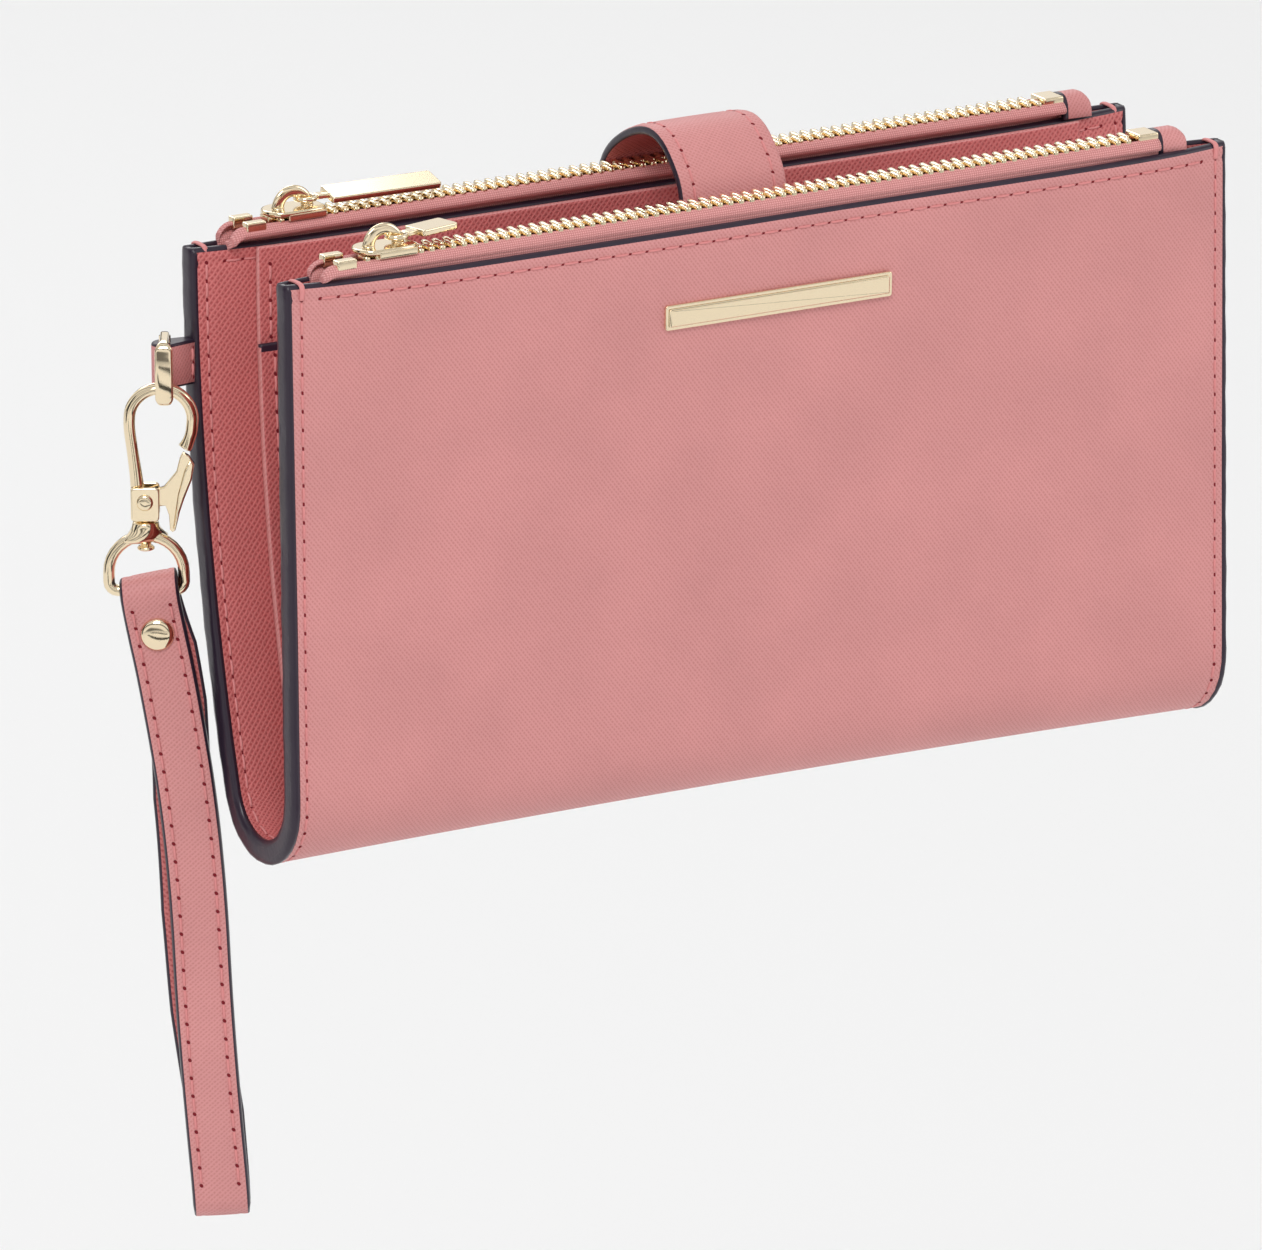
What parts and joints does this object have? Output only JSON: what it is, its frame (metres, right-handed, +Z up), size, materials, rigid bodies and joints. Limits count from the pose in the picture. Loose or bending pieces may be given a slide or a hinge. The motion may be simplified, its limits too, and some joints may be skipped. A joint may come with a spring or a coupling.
{
  "type": "wristlet wallet",
  "caption": "Folding leather wristlet wallet: two zipped pouches, an open middle, a snap closing tab and a clip-on wrist strap.",
  "frame": {"origin": "middle of the wallet's length and depth, at the underside of its bottom fold", "axes": "+X to the right along the wallet's length seen from the front, +Y from the front face to the back face, +Z up"},
  "size_m": [0.1984, 0.0439, 0.1811],
  "materials": {
    "leather_outer": "satin cross-hatched grain",
    "leather_inner": "satin cross-hatched grain",
    "lining": "plain woven",
    "zip_tape": "herringbone woven",
    "gold": "polished pale gold plate",
    "spring_steel": "drawn wire"
  },
  "bodies": {
    "back_pouch": {"back_outer_panel": "leather_outer", "back_inner_panel": "leather_inner", "back_lining": "lining", "pocket_panel": "leather_inner", "slip_pocket": "leather_inner", "tab_patch": "leather_outer", "back_tape_outer": "zip_tape", "back_tape_inner": "zip_tape", "back_teeth_outer": "gold", "back_teeth_inner": "gold", "back_top_stop_outer": "gold", "back_top_stop_inner": "gold", "back_bottom_stop": "gold", "back_end_tab": "leather_outer", "anchor_tab": "leather_outer"},
    "front_pouch": {"front_outer_panel": "leather_outer", "front_inner_panel": "leather_inner", "front_lining": "lining", "card_slot_upper": "leather_inner", "card_slot_middle": "leather_inner", "card_slot_lower": "leather_inner", "front_tape_outer": "zip_tape", "front_tape_inner": "zip_tape", "front_teeth_outer": "gold", "front_teeth_inner": "gold", "front_top_stop_outer": "gold", "front_top_stop_inner": "gold", "front_bottom_stop": "gold", "front_end_tab": "leather_outer", "snap_stud": "gold", "ornament_bar": "gold"},
    "tab": {"closing_tab": "leather_outer", "snap_socket": "gold", "snap_cap": "gold"},
    "back_zip_slider": {"back_slider": "gold"},
    "back_zip_pull": {"back_pull": "gold"},
    "front_zip_slider": {"front_slider": "gold"},
    "front_zip_pull": {"front_pull": "gold"},
    "ring": {"d_ring": "gold"},
    "hook": {"hook_frame": "gold", "gate_pin": "gold", "gate_spring": "spring_steel", "swivel_stem": "gold"},
    "gate": {"hook_gate": "gold"},
    "swivel": {"swivel_eye": "gold"},
    "strap": {"strap_band": "leather_outer", "strap_rivet": "gold"}
  },
  "joints": [
    {"name": "wallet_open", "type": "hinge", "parent": "back_pouch", "child": "front_pouch", "pos_m": [0, -0.00588, 0], "axis": [1, 0, 0], "range_deg": [0, 170]},
    {"name": "tab_lift", "type": "hinge", "parent": "back_pouch", "child": "tab", "pos_m": [0, 0.02056, 0.0812], "axis": [-1, 0, 0], "range_deg": [0, 120]},
    {"name": "back_zip_slide", "type": "slide", "parent": "back_pouch", "child": "back_zip_slider", "axis": [1, 0, 0], "range_m": [0, 0.139]},
    {"name": "back_pull_flip", "type": "hinge", "parent": "back_zip_slider", "child": "back_zip_pull", "pos_m": [-0.0719, 0.0147, 0.1066], "axis": [0, -1, 0], "range_deg": [0, 85]},
    {"name": "front_zip_slide", "type": "slide", "parent": "front_pouch", "child": "front_zip_slider", "axis": [1, 0, 0], "range_m": [0, 0.139]},
    {"name": "front_pull_flip", "type": "hinge", "parent": "front_zip_slider", "child": "front_zip_pull", "pos_m": [-0.0719, -0.0168, 0.1071], "axis": [0, -1, 0], "range_deg": [0, 85]},
    {"name": "ring_swing", "type": "hinge", "parent": "back_pouch", "child": "ring", "pos_m": [-0.096, 0.0158, 0.0825], "axis": [0, 0, 1], "range_deg": [-110, 12]},
    {"name": "hook_swing", "type": "hinge", "parent": "ring", "child": "hook", "pos_m": [-0.09788, 0.01255, 0.0776], "axis": [0.5, 0.866, 0], "range_deg": [0, 95]},
    {"name": "gate_open", "type": "hinge", "parent": "hook", "child": "gate", "pos_m": [-0.10099, 0.01435, 0.06], "axis": [-0.5, -0.866, 0], "range_deg": [0, 22], "stiffness_Nm_per_rad": 0.004, "springref_deg": -17.19},
    {"name": "swivel_spin", "type": "hinge", "parent": "hook", "child": "swivel", "pos_m": [-0.10099, 0.01435, 0.054], "axis": [0, 0, 1], "continuous": true},
    {"name": "strap_swing", "type": "hinge", "parent": "swivel", "child": "strap", "pos_m": [-0.10099, 0.01435, 0.0442], "axis": [0.866, -0.5, 0], "range_deg": [-45, 45]}
  ]
}
